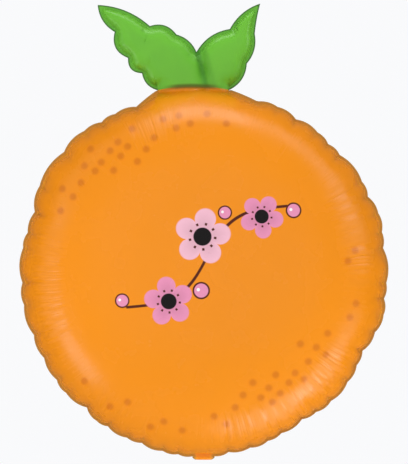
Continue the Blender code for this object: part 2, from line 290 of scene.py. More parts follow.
def nearest_distance(points, others):
    """Distance from each point to the nearest of the others."""
    return np.linalg.norm(points[:, None, :] - others[None, :, :], axis=2).min(axis=1)


def edge_distance(points, edge):
    """Distance in from a closed edge, rounded where two sides are equally near, and 0 outside."""
    following = np.roll(edge, -1, axis=0)
    middles = (edge + following) / 2
    lengths = np.linalg.norm(following - edge, axis=1)
    reach = np.linalg.norm(points[:, None, :] - middles[None, :, :], axis=2)
    pull = 0.75 * (lengths / np.maximum(reach, EDGE_STEP / 4) ** 5).sum(axis=1)
    return np.where(inside(points, edge), pull ** -0.25, 0.0)


def leaf_height(points, edge):
    """Height of one leaf's lobe over the seam."""
    share = np.clip((edge_distance(points, edge) - FLANGE) / LEAF_SHOULDER, 0.0, 1.0)
    return LEAF_HALF_DEPTH * np.interp(SEAL_RADIUS * (1.0 - share), RADIUS, HEIGHT / HEIGHT[0])


def film_height(plan):
    """Height of the film over the seam plane: the highest of body and leaves, with soft creases."""
    angle = np.arctan2(plan[:, 1], plan[:, 0])
    radius = np.linalg.norm(plan, axis=1)
    depth = FLAT_RADIUS - np.interp(radius - seal_shift(angle), RADIUS, ARC)
    for _ in range(3):
        shifted = radius - seal_shift(angle) * fade(depth, PLEAT_REACH)
        depth = FLAT_RADIUS - np.interp(shifted, RADIUS, ARC)
    heights = [np.interp(FLAT_RADIUS - depth, ARC, HEIGHT)]
    near = plan[:, 1] > BODY_RADIUS * 0.8
    for edge in (leaf_lobe(0, LEAF_FORK, RIGHT_LEAF_HIDDEN),
                 leaf_lobe(LEAF_FORK, len(LEAF_EDGE) - 1, LEFT_LEAF_HIDDEN)):
        height = np.zeros(len(plan))
        height[near] = leaf_height(plan[near], edge)
        heights.append(height)
    return sum(height ** CREASE_SHARPNESS for height in heights) ** (1.0 / CREASE_SHARPNESS)


def scallops(plan):
    """Each point's scallop: its number, its width as an angle, the share along it, and 0 off the rim."""
    stops = np.radians([angle for angle, offset in RIM_PINCHES + RIM_PINCHES_PAST_TAIL])
    angles = np.arctan2(plan[:, 1], plan[:, 0]) % math.tau
    angles = np.where(angles < stops[0], angles + math.tau, angles)
    number = np.clip(np.searchsorted(stops, angles, side="right") - 1, 0, len(stops) - 2)
    width = stops[number + 1] - stops[number]
    share = (angles - stops[number]) / width
    clear_of_neck = 1.0 - fade(np.abs(plan[:, 0]) - TAIL_WIDTH / 2, NECK_SPREAD * 2)
    free = np.where(plan[:, 1] < 0.0, clear_of_neck, 1.0)
    clear_of_leaves = 1.0 - fade(np.minimum(angles - stops[0], stops[-1] - angles), LEAF_CLEARANCE)
    on_rim = np.where((share >= 0.0) & (share <= 1.0), free * clear_of_leaves, 0.0)
    return number, width, np.clip(share, 0.0, 1.0), on_rim


def rim_wave(plan, depth):
    """How far the rim stands out of the seam plane: each scallop to the other side."""
    number, _, share, on_rim = scallops(plan)
    side = np.where(number % 2 == 0, 1.0, -1.0)
    return RIM_WAVE * side * 4.0 * share * (1.0 - share) * fade(depth, RIM_WAVE_REACH) * on_rim


def film_face(plan):
    """Distance from the seam plane to a film's outer face on the rim: more where the valve passes."""
    beside = fade(np.abs(plan[:, 0]) - TAIL_WIDTH / 2, NECK_SPREAD)
    low = np.where(plan[:, 1] < 0.0, beside, 0.0)
    return FILM_FACE + (TAIL_FACE - FILM_FACE) * low


def columns(stops):
    """Angles of the mesh's columns from the first stop to the last, with one on each stop."""
    angles = []
    for start, end in zip(stops, stops[1:]):
        count = max(2, round((end - start) / COLUMN_STEP))
        angles += [start + (end - start) * i / count for i in range(count)]
    return np.array(angles + [stops[-1]])


def rim_columns():
    """Column angles from the leaves to the neck, across the neck, and from there to the leaves."""
    beside = math.atan2(TAIL_WIDTH / 2, NECK_DROP)
    down = math.pi * 1.5
    left = [ROOT_LEFT] + [math.radians(angle) for angle, _ in RIM_PINCHES] + [down - beside]
    right = [math.radians(angle) for angle, _ in RIM_PINCHES_PAST_TAIL]
    right = [down + beside] + right + [ROOT_RIGHT + math.tau]
    neck = np.linspace(down - beside, down + beside, NECK_COLUMNS + 1)
    return columns(left), neck, columns(right)


def body_pattern_points():
    """Flat pattern points over the body: rows along the rim, then an even field."""
    left, neck, right = rim_columns()
    roots = columns([ROOT_RIGHT + math.tau, ROOT_LEFT + math.tau])
    angles = np.concatenate((left, neck[1:-1], right, roots[1:-1])) % math.tau
    points = []
    depths = [-FLANGE + FLANGE * i / FLANGE_ROWS for i in range(1, FLANGE_ROWS)]
    depths += list(np.arange(0.0, RIM_BAND, RIM_ROW_STEP))
    for depth in depths:
        arc = FLAT_RADIUS - depth
        in_leaf = (angles > ROOT_RIGHT - COLUMN_STEP / 2) & (angles < ROOT_LEFT + COLUMN_STEP / 2)
        row = angles[~(in_leaf & (depth < crease_arc(angles)))]
        points.append(np.stack((arc * np.cos(row), arc * np.sin(row)), axis=1))
    reach = FLAT_RADIUS - RIM_BAND - MIDDLE_STEP * 0.4
    rise = MIDDLE_STEP * math.sqrt(0.75)
    for j in range(-int(reach / rise), int(reach / rise) + 1):
        xs = (np.arange(-60, 61) + 0.5 * (j % 2)) * MIDDLE_STEP
        row = np.stack((xs, np.full(len(xs), j * rise)), axis=1)
        points.append(row[np.linalg.norm(row, axis=1) < reach])
    return np.concatenate(points)


def leaf_pattern_points():
    """Flat pattern points over the leaves: rows in from their edge, then an even field."""
    fine = leaf_outline(0.0005)
    edge = leaf_outline(0.0020)
    closed = np.concatenate((fine, [(-0.052, 0.200), (0.0285, 0.200)]))
    along = np.gradient(edge, axis=0)
    normals = np.stack((-along[:, 1], along[:, 0]), axis=1)
    normals /= np.linalg.norm(normals, axis=1, keepdims=True)
    points = []
    for inset in LEAF_INSETS:
        row = edge[1:-1] + normals[1:-1] * inset
        keep = (nearest_distance(row, fine) > inset * 0.93) & inside(row, closed)
        points.append(row[keep])
    rise = LEAF_STEP * math.sqrt(0.75)
    low, high = edge.min(axis=0), edge.max(axis=0)
    field = []
    for j, z in enumerate(np.arange(low[1] - 0.004, high[1], rise)):
        for x in np.arange(low[0] + 0.5 * LEAF_STEP * (j % 2), high[0], LEAF_STEP):
            field.append((x, z))
    field = np.array(field)
    keep = (nearest_distance(field, fine) > LEAF_INSETS[-1] + LEAF_STEP * 0.6) & inside(field, closed)
    points.append(field[keep])
    flat = leaf_to_flat(np.concatenate(points))
    _, is_leaf = flat_to_plan(flat)
    return flat[is_leaf]


def pattern_outline():
    """The closed outline of the flat pattern, counter-clockwise, and the neck's stretch of it."""
    leaves = leaf_to_flat(leaf_outline(0.0020))
    left, neck, right = rim_columns()
    left, right = left[1:-1], right[1:-1]
    angles = np.concatenate((left, neck, right))
    arc = FLAT_RADIUS + FLANGE
    body = np.stack((arc * np.cos(angles), arc * np.sin(angles)), axis=1)
    first = len(leaves) + len(left)
    return np.concatenate((leaves, body)), list(range(first, first + len(neck)))


def flat_pattern():
    """Vertices and triangles of one film in its flat pattern, and the vertices of its neck."""
    outline, neck = pattern_outline()
    points = np.concatenate((body_pattern_points(), leaf_pattern_points()))
    points = points[nearest_distance(points, outline) > 0.0010]
    every = [Vector(point) for point in np.concatenate((outline, points))]
    count = len(outline)
    loop = [(i, (i + 1) % count) for i in range(count)]
    flat, _, triangles, _, _, _ = delaunay_2d_cdt(every, loop, [], 1, 1e-7)
    return np.array([tuple(point) for point in flat]), np.array(triangles), neck


def spare_length(depth):
    """How much longer the flat film is than the inflated one, round a ring at a depth from the seal."""
    arc = FLAT_RADIUS - depth
    radius = np.interp(arc, ARC, RADIUS)
    return np.where(depth > 0.0, np.maximum(arc / np.maximum(radius, 1e-6) - 1.0, 0.0), 0.0), radius


def scallop_pleats(plan, depth, generator):
    """Folds that run in from the pinches of the rim, with a swelling between each two."""
    spare, radius = spare_length(depth)
    number, width, share, on_rim = scallops(plan)
    pinches = np.array([angle for angle, offset in RIM_PINCHES + RIM_PINCHES_PAST_TAIL])
    creased = np.isin(pinches, LONG_CREASES)
    lengths = np.where(creased, CREASE_LENGTH, generator.uniform(*PLEAT_LENGTH, len(pinches)))
    strengths = np.where(creased, CREASE_STRENGTH, generator.uniform(*PLEAT_STRENGTH, len(pinches)))
    at_pinch = np.where(share < 0.5, number, number + 1)
    fold = 2.0 * np.abs(np.sin(math.pi * share)) ** SCALLOP_SHARPNESS - 1.2
    rise = fold * width * radius / math.pi * np.sqrt(SCALLOP_SHARE * spare)
    own = np.clip(np.abs(share - 0.5) * 2.0, 0.0, 1.0)
    strength = own * strengths[at_pinch] + (1.0 - own)
    return rise * strength * fade(depth, lengths[at_pinch] * own + PLEAT_LENGTH[1] * (1.0 - own)) * on_rim


def fine_pleats(plan, depth, generator):
    """Many small folds near the rim."""
    spare, radius = spare_length(depth)
    angle = np.arctan2(plan[:, 1], plan[:, 0])
    rise = np.zeros(len(plan))
    for waves in FINE_WAVES:
        phase = generator.uniform(0.0, math.tau)
        lean = generator.uniform(-6.0, 6.0)
        height = 2.0 * radius / waves * np.sqrt(FINE_SHARE * spare / len(FINE_WAVES))
        rise += height * np.cos(waves * angle + phase + lean * depth / PLEAT_LENGTH[1])
    return rise * fade(depth, PLEAT_LENGTH[1]) * scallops(plan)[3]


def inflated(starts, triangles, pinned):
    """Cloth simulation of both films with their rims and leaves held. Returns their new vertices."""
    count = len(starts[0])
    faces = [tuple(face) for face in triangles]
    faces += [tuple(count + i for i in reversed(face)) for face in triangles.tolist()]
    mesh = bpy.data.meshes.new("cloth")
    mesh.from_pydata([tuple(point) for point in np.concatenate(starts)], [], faces)
    cloth = bpy.data.objects.new("cloth", mesh)
    bpy.context.scene.collection.objects.link(cloth)
    held = cloth.vertex_groups.new(name="held")
    held.add([int(i) for i in np.flatnonzero(np.concatenate((pinned, pinned)))], 1.0, "REPLACE")
    modifier = cloth.modifiers.new("inflate", "CLOTH")
    settings = modifier.settings
    settings.vertex_group_mass = "held"
    settings.quality = 5
    settings.mass = CLOTH_MASS
    settings.tension_stiffness = CLOTH_TENSION
    settings.compression_stiffness = CLOTH_TENSION
    settings.shear_stiffness = CLOTH_TENSION
    settings.bending_stiffness = CLOTH_BENDING
    settings.use_pressure = True
    settings.uniform_pressure_force = CLOTH_PRESSURE
    settings.effector_weights.gravity = 0.0
    modifier.collision_settings.use_collision = False
    modifier.point_cache.frame_start = 1
    modifier.point_cache.frame_end = CLOTH_FRAMES
    scene = bpy.context.scene
    for number in range(1, CLOTH_FRAMES + 1):
        scene.frame_set(number)
    shaped = cloth.evaluated_get(bpy.context.evaluated_depsgraph_get()).to_mesh()
    points = np.empty(len(shaped.vertices) * 3, np.float32)
    shaped.vertices.foreach_get("co", points)
    scene.frame_set(1)
    bpy.data.objects.remove(cloth)
    points = points.reshape(-1, 3).astype(float)
    return points[:count], points[count:]


def capped(start, moved):
    """Moved points, none further than the limit from its start."""
    step = moved - start
    length = np.linalg.norm(step, axis=1, keepdims=True)
    return start + step * np.minimum(1.0, MOST_MOVE / np.maximum(length, 1e-9))


def film_surfaces():
    """The outer faces of the front and back films, about the body's centre."""
    flat, triangles, neck = flat_pattern()
    plan, is_leaf = flat_to_plan(flat)
    depth = FLAT_RADIUS - np.linalg.norm(flat, axis=1)
    height = film_height(plan)
    middle = rim_wave(plan, depth)
    face = film_face(plan)
    crease_zone = (np.abs(np.arctan2(flat[:, 0], flat[:, 1])) < 0.36) & (depth < CREASE_ARC + 0.012)
    pinned = is_leaf | (depth < RIM_ROW_STEP * 0.5) | crease_zone
    generator = np.random.default_rng(7)
    tilt = np.interp(FLAT_RADIUS - depth, ARC, TILT)
    outward = plan / np.maximum(np.linalg.norm(plan, axis=1, keepdims=True), 1e-9)
    starts = []
    for side in (-1.0, 1.0):
        pleats = scallop_pleats(plan, depth, generator) + fine_pleats(plan, depth, generator)
        pleats = np.where(pinned, 0.0, pleats * (1.0 - fade(depth, PLEAT_START)))
        shifted = plan + outward * (pleats * np.sin(tilt))[:, None]
        starts.append(np.stack((shifted[:, 0], middle + side * (face + height + pleats * np.cos(tilt)),
                                shifted[:, 1]), axis=1))
    moved = inflated(starts, triangles, pinned)
    starts = [capped(start, after) for start, after in zip(starts, moved)]
    return starts, triangles, neck, plan


def tail_path():
    """The middle of the folded tail: (y, z) points with unit vectors to its outer side."""
    rows = []
    start_z = -NECK_DROP - NECK_STRAIGHT
    turn = math.pi / 2 + TAIL_RISE
    for i in range(TAIL_BEND_STEPS + 1):
        angle = turn * i / TAIL_BEND_STEPS
        outer = (-math.cos(angle), -math.sin(angle))
        rows.append(((TAIL_BEND_RADIUS + TAIL_BEND_RADIUS * outer[0],
                      start_z + TAIL_BEND_RADIUS * outer[1]), outer))
    (y, z), outer = rows[-1]
    along = (-outer[1], outer[0])
    for i in range(1, TAIL_STRAIGHT_STEPS + 1):
        reach = TAIL_STRAIGHT * i / TAIL_STRAIGHT_STEPS
        rows.append(((y + along[0] * reach, z + along[1] * reach), outer))
    return rows


def mount_point():
    """The middle of the tail's flat outer face, about the body's centre: the frame's origin."""
    (y, z), outer = tail_path()[TAIL_BEND_STEPS]
    along = (-outer[1], outer[0])
    return np.array((0.0,
                     y + along[0] * MOUNT_ALONG + outer[0] * TAIL_FACE,
                     z + along[1] * MOUNT_ALONG + outer[1] * TAIL_FACE))


def tail_offset(x):
    """Half of the tail's stack at a place across it: flat, and closing at its sealed sides."""
    share = np.clip((TAIL_WIDTH / 2 - np.abs(x)) / 0.002, 0.0, 1.0)
    return FILM_FACE + (TAIL_FACE - FILM_FACE) * np.sin(share * math.pi / 2)


def corner_lift(x, step):
    """How far the tail's folded edge is drawn up towards its corners, at a step along its path."""
    if step <= TAIL_BEND_STEPS / 2:
        weight = math.sin(math.pi * step / TAIL_BEND_STEPS)
    else:
        past = TAIL_STRAIGHT * max(0, step - TAIL_BEND_STEPS) / TAIL_STRAIGHT_STEPS
        weight = float(fade(past, CORNER_LIFT_REACH))
    return CORNER_LIFT * weight * (abs(x) / (TAIL_WIDTH / 2)) ** CORNER_LIFT_POWER


def outline_distance(plan):
    """Distance of each point from the outline, up to about a centimetre."""
    angles = np.linspace(0.0, math.tau, 2400, endpoint=False)
    radii = np.interp(angles, RIM[0], RIM[1], period=math.tau)
    rim = np.stack((radii * np.cos(angles), radii * np.sin(angles)), axis=1)
    covered = (angles > ROOT_RIGHT) & (angles < ROOT_LEFT)
    on_neck = (np.abs(rim[:, 0]) < TAIL_WIDTH / 2) & (rim[:, 1] < 0.0)
    edge = np.concatenate((rim[~covered & ~on_neck], leaf_outline(0.0008)))
    distance = np.full(len(plan), 0.010)
    radius = np.linalg.norm(plan, axis=1)
    near = radius > BODY_RADIUS - 0.022
    close = np.concatenate([nearest_distance(part, edge) for part in np.array_split(plan[near], 12)])
    distance[near] = np.minimum(close, 0.010)
    return distance


def film_object(name, side, vertices, triangles, neck, plan):
    """One film as a closed thin shell with its half of the tail, in the frame."""
    vertices = [tuple(point) for point in vertices]
    distances = list(outline_distance(plan))
    faces = [tuple(face) if side < 0 else tuple(reversed(face)) for face in triangles.tolist()]
    across = [vertices[i][0] for i in neck]
    row = neck
    for step, ((y, z), outer) in enumerate(tail_path()):
        start = len(vertices)
        for x in across:
            reach = -side * float(tail_offset(x))
            vertices.append((x, y + outer[0] * reach, z + outer[1] * reach + corner_lift(x, step)))
            distances.append(TAIL_WIDTH / 2 - abs(x))
        following = list(range(start, start + len(across)))
        for a, b, c, d in zip(row, row[1:], following[1:], following):
            faces.append((a, d, c, b) if side < 0 else (a, b, c, d))
        row = following
    shift = mount_point()
    mesh = bpy.data.meshes.new(name)
    mesh.from_pydata([tuple(np.array(vertex) - shift) for vertex in vertices], [], faces)
    attribute = mesh.attributes.new("from_edge", "FLOAT", "POINT")
    attribute.data.foreach_set("value", np.array(distances, np.float32))
    mesh.shade_smooth()
    thing = bpy.data.objects.new(name, mesh)
    bpy.context.scene.collection.objects.link(thing)
    skin = thing.modifiers.new("film", "SOLIDIFY")
    skin.thickness = FILM
    skin.offset = -1.0
    skin.use_rim = True
    return thing


class Nodes:
    """Short calls that add nodes to one material's tree."""

    def __init__(self, tree):
        self.tree = tree

    def feed(self, socket, value):
        """Links a socket or sets a constant."""
        if isinstance(value, bpy.types.NodeSocket):
            self.tree.links.new(value, socket)
        elif value is not None:
            socket.default_value = value

    def add(self, kind, settings=(), inputs=()):
        """A node with its settings, and its inputs by name or number."""
        made = self.tree.nodes.new(kind)
        for key, value in dict(settings).items():
            setattr(made, key, value)
        for key, value in dict(inputs).items():
            self.feed(made.inputs[key], value)
        return made

    def math(self, operation, a, b=None, c=None):
        """The result of a maths node."""
        return self.add("ShaderNodeMath", {"operation": operation}, {0: a, 1: b, 2: c}).outputs[0]

    def smooth(self, value, low, high, start=0.0, end=1.0):
        """A smooth step of a value from low to high."""
        made = self.add("ShaderNodeMapRange", {"interpolation_type": "SMOOTHSTEP"},
                        {0: value, 1: low, 2: high, 3: start, 4: end})
        return made.outputs[0]

    def blend(self, share, first, second, how="MIX"):
        """A mix of two colours."""
        made = self.add("ShaderNodeMix", {"data_type": "RGBA", "blend_type": how},
                        {0: share, 6: first, 7: second})
        return made.outputs[2]

    def noise(self, vector, scale, detail=2.0, roughness=0.5):
        """The value of a noise texture."""
        made = self.add("ShaderNodeTexNoise", {}, {"Vector": vector, "Scale": scale, "Detail": detail,
                                                   "Roughness": roughness})
        return made.outputs["Fac"]


def srgb(red, green, blue):
    """A colour given as 8-bit screen values."""
    def linear(value):
        value = value / 255.0
        return value / 12.92 if value <= 0.04045 else ((value + 0.055) / 1.055) ** 2.4
    return (linear(red), linear(green), linear(blue), 1.0)


# Colours of the print, and of the light and shade painted on it
ORANGE = srgb(246, 145, 4)
ORANGE_RIM = srgb(246, 145, 5)
# Painted light: a lighter orange for the seal band, against the flat seal's darker reflection
SEAL_PAINTED_LIGHT = srgb(252, 158, 18)
PORE = srgb(218, 116, 4)
LEAF_GREEN = srgb(108, 190, 51)
# Darker green: random tone over the leaves, and painted shade along their edges
LEAF_SHADE = srgb(84, 160, 50)
# Painted shade: darker green in the valley between the leaves and on the right leaf's flank
VALLEY_SHADE_GREEN = srgb(72, 144, 42)
EDGE_BROWN = srgb(142, 118, 52)
EDGE_GREEN = srgb(58, 104, 44)
# Print and painted shade: the olive line along the leaves' crease with the body
CREASE_PRINT_AND_SHADE = srgb(82, 88, 14)
# Painted shade: darker orange on the body just under the leaves
UNDER_LEAF_SHADE = srgb(218, 124, 10)
PETAL_PINK = srgb(236, 148, 186)
PETAL_PALE = srgb(246, 190, 208)
DOT_WHITE = srgb(252, 248, 246)
INK_BLACK = srgb(14, 10, 10)
STEM_BROWN = srgb(86, 30, 12)

# Printed peel pores as the camera sees them: x, z about the body's centre in millimetres
PORE_SIZE = 8.8
PORES = (
    (-128, 141), (-106, 139), (-97, 149), (-86, 144), (-94, 133), (-135, 122), (-116, 126), (-123, 116),
    (-102, 117), (-75, 127), (-65, 141), (-56, 154), (-139, 103), (-160, 96), (-148, 87), (-162, 71),
    (-81, 164), (-31, 165), (-15, 170), (26, 170), (-46, 175), (-28, 179), (4, 181),
    (172, 26), (164, 14), (173, -34), (166, -50), (141, -68), (110, -80), (128, -84), (139, -92),
    (119, -100), (104, -113), (82, -115), (114, -120), (97, -124), (56, -124), (74, -130), (87, -136),
    (65, -141), (45, -138), (78, -146), (36, -152), (12, -162), (26, -171),
    (-135, -122), (-106, -151), (-86, -146), (-60, -174), (-45, -168), (-24, -178),
)


def on_film(x, z):
    """Where a mark lies on the raised film that the camera sees over a place in the seam plane."""
    height = float(np.interp(math.hypot(x, z), RADIUS, HEIGHT))
    nearer = 1.0 - height / CAMERA_DISTANCE
    return CAMERA_ASIDE + (x - CAMERA_ASIDE) * nearer, CAMERA_UP + (z - CAMERA_UP) * nearer


def pore_mask(nodes, flat_point):
    """1 inside the printed pores."""
    nearest = None
    for place in PORES:
        x, z = on_film(place[0] * MM, place[1] * MM)
        gap = nodes.add("ShaderNodeVectorMath", {"operation": "DISTANCE"},
                        {0: flat_point, 1: (x, 0.0, z)}).outputs["Value"]
        nearest = gap if nearest is None else nodes.math("MINIMUM", nearest, gap)
    radius = PORE_SIZE * MM / 2
    return nodes.smooth(nearest, radius * 1.35, radius * 0.40)


# The printed sprig: its middle, its slant, half its length and its sway, in metres
SPRIG_MIDDLE = (0.004, 0.020)
SPRIG_SLANT = math.radians(34.0)
SPRIG_HALF = 0.098
SPRIG_SWAY = 0.017
STEM_HALF_WIDTH = 0.0017

# Blossoms on the sprig: place along it and across it, radius, turn, and petal colour
BLOSSOMS = (
    (-0.062, -0.017, 0.027, 0.3, PETAL_PINK),
    (0.008, 0.021, 0.031, 1.1, PETAL_PALE),
    (0.074, 0.003, 0.024, 2.0, PETAL_PINK),
)
# Buds on the sprig: place along it and across it, and radius
BUDS = ((-0.104, 0.012, 0.0072), (-0.026, -0.027, 0.0085), (0.043, 0.029, 0.0070), (0.107, -0.011, 0.0078))
STAMENS = 9.0


def sprig_point(nodes, x, z):
    """Place along and across the sprig."""
    dx = nodes.math("SUBTRACT", x, SPRIG_MIDDLE[0])
    dz = nodes.math("SUBTRACT", z, SPRIG_MIDDLE[1])
    cos, sin = math.cos(SPRIG_SLANT), math.sin(SPRIG_SLANT)
    along = nodes.math("MULTIPLY_ADD", dx, cos, nodes.math("MULTIPLY", dz, sin))
    across = nodes.math("MULTIPLY_ADD", dz, cos, nodes.math("MULTIPLY", dx, -sin))
    return along, across


def stem_mask(nodes, along, across):
    """1 on the printed stem, an S-curve that ends at the sprig's ends."""
    turn = nodes.math("MULTIPLY", along, math.pi / SPRIG_HALF)
    line = nodes.math("MULTIPLY", nodes.math("SINE", turn), SPRIG_SWAY)
    gap = nodes.math("ABSOLUTE", nodes.math("SUBTRACT", across, line))
    on_line = nodes.smooth(gap, STEM_HALF_WIDTH * 1.3, STEM_HALF_WIDTH * 0.7)
    inside_ends = nodes.smooth(nodes.math("ABSOLUTE", along), SPRIG_HALF * 1.08, SPRIG_HALF * 1.06)
    return nodes.math("MULTIPLY", on_line, inside_ends)


def disc(nodes, colour, along, across, place, radius, paint):
    """Paints a round spot over a colour."""
    da = nodes.math("SUBTRACT", along, place[0])
    dc = nodes.math("SUBTRACT", across, place[1])
    reach = nodes.math("SQRT", nodes.math("MULTIPLY_ADD", da, da, nodes.math("MULTIPLY", dc, dc)))
    return nodes.blend(nodes.smooth(reach, radius * 1.04, radius * 0.96), colour, paint)


def blossom(nodes, colour, along, across, place, size, turn, petal):
    """Paints one five-petalled blossom over a colour: veined petals, stamens and a dark middle."""
    da = nodes.math("SUBTRACT", along, place[0])
    dc = nodes.math("SUBTRACT", across, place[1])
    reach = nodes.math("SQRT", nodes.math("MULTIPLY_ADD", da, da, nodes.math("MULTIPLY", dc, dc)))
    angle = nodes.math("ARCTAN2", dc, da)
    lobes = nodes.math("ABSOLUTE", nodes.math("COSINE", nodes.math("MULTIPLY_ADD", angle, 2.5, turn)))
    edge = nodes.math("MULTIPLY_ADD", nodes.math("POWER", lobes, 0.6), size * 0.46, size * 0.54)
    inner = nodes.math("DIVIDE", reach, edge)
    shade = nodes.blend(nodes.smooth(inner, 0.35, 1.0), STEM_BROWN, petal)
    shaded = nodes.blend(0.16, petal, shade)
    colour = nodes.blend(nodes.smooth(inner, 1.03, 0.97), colour, shaded)
    spokes = nodes.math("COSINE", nodes.math("MULTIPLY", angle, STAMENS))
    ring = nodes.smooth(nodes.math("ABSOLUTE", nodes.math("SUBTRACT", reach, size * 0.45)),
                        size * 0.055, size * 0.035)
    colour = nodes.blend(nodes.math("MULTIPLY", ring, nodes.smooth(spokes, 0.55, 0.80)), colour, STEM_BROWN)
    return nodes.blend(nodes.smooth(reach, size * 0.335, size * 0.305), colour, INK_BLACK)


def painted_sprig(nodes, colour, x, z):
    """Paints the sprig over a colour."""
    along, across = sprig_point(nodes, x, z)
    colour = nodes.blend(stem_mask(nodes, along, across), colour, STEM_BROWN)
    for place_along, place_across, size in BUDS:
        place = (place_along, place_across)
        colour = disc(nodes, colour, along, across, place, size * 1.12, STEM_BROWN)
        colour = disc(nodes, colour, along, across, place, size * 0.90, PETAL_PINK)
        glint = (place_along - size * 0.25, place_across + size * 0.30)
        colour = disc(nodes, colour, along, across, glint, size * 0.22, DOT_WHITE)
    for place_along, place_across, size, turn, petal in BLOSSOMS:
        colour = blossom(nodes, colour, along, across, (place_along, place_across), size, turn, petal)
    return colour


# Painted shade in the valley between the leaves: its top and its foot, about the body's centre, and its half
# width
VALLEY_TOP = (-0.008, 0.256)
VALLEY_FOOT = (0.0035, 0.210)
VALLEY_HALF_WIDTH = 0.0072
FLANK_WIDTH = 0.015
FLANK_SHARE = 0.42


def leaf_valley(nodes, x, z):
    """1 along the valley between the leaves, and less on the flank to its right: the mask of painted shade
    there, also used to roughen the film.
    """
    down = nodes.math("DIVIDE", nodes.math("SUBTRACT", z, VALLEY_TOP[1]), VALLEY_FOOT[1] - VALLEY_TOP[1])
    line = nodes.math("MULTIPLY_ADD", down, VALLEY_FOOT[0] - VALLEY_TOP[0], VALLEY_TOP[0])
    aside = nodes.math("SUBTRACT", x, line)
    valley = nodes.smooth(nodes.math("ABSOLUTE", aside), VALLEY_HALF_WIDTH, 0.0)
    flank = nodes.math("MULTIPLY", nodes.smooth(aside, FLANK_WIDTH, FLANK_WIDTH * 0.55, 0.0, FLANK_SHARE),
                       nodes.smooth(aside, -0.002, 0.002))
    return nodes.math("MULTIPLY", nodes.math("MAXIMUM", valley, flank), nodes.smooth(down, -0.06, 0.10))


def leaf_line(nodes, x, z):
    """Height over the line where the leaves' print meets the body's, and 1 along their crease."""
    off_middle = nodes.math("ADD", x, 0.011)
    line = nodes.math("MULTIPLY_ADD", nodes.math("MULTIPLY", off_middle, off_middle), -1.96, 0.2112)
    above = nodes.math("SUBTRACT", z, line)
    from_middle = nodes.math("ABSOLUTE", nodes.math("ADD", x, 0.012))
    near = nodes.smooth(nodes.math("ABSOLUTE", nodes.math("SUBTRACT", above, 0.0005)), 0.0042, 0.0008)
    return above, nodes.math("MULTIPLY", near, nodes.smooth(from_middle, 0.038, 0.016))


# Fine radial wrinkles: how many to a radian, their height, and where they show, in degrees from and to
STREAKS = 42.0
STREAK_HEIGHT = 0.0026
STREAK_ROUGHNESS = 0.24
STREAK_ZONES = ((163.0, 208.0), (278.0, 330.0), (2.0, 34.0), (100.0, 116.0))
ZONE_FADE = math.radians(7.0)


def streak_zones(nodes, angle):
    """1 in the stretches of the rim that show fine wrinkles, and little elsewhere."""
    shown = 0.12
    for first, last in STREAK_ZONES:
        middle = math.radians((first + last) / 2)
        half = math.radians((last - first) / 2)
        turned = nodes.math("SUBTRACT", angle, middle)
        off = nodes.math("ABSOLUTE", nodes.math("WRAP", turned, -math.pi, math.pi))
        shown = nodes.math("MAXIMUM", shown, nodes.smooth(off, half + ZONE_FADE, half - ZONE_FADE))
    return shown


def streak_band(nodes, radius):
    """1 in the ring that the fine wrinkles cross."""
    return nodes.math("MULTIPLY", nodes.smooth(radius, 0.150, 0.162), nodes.smooth(radius, 0.194, 0.182))


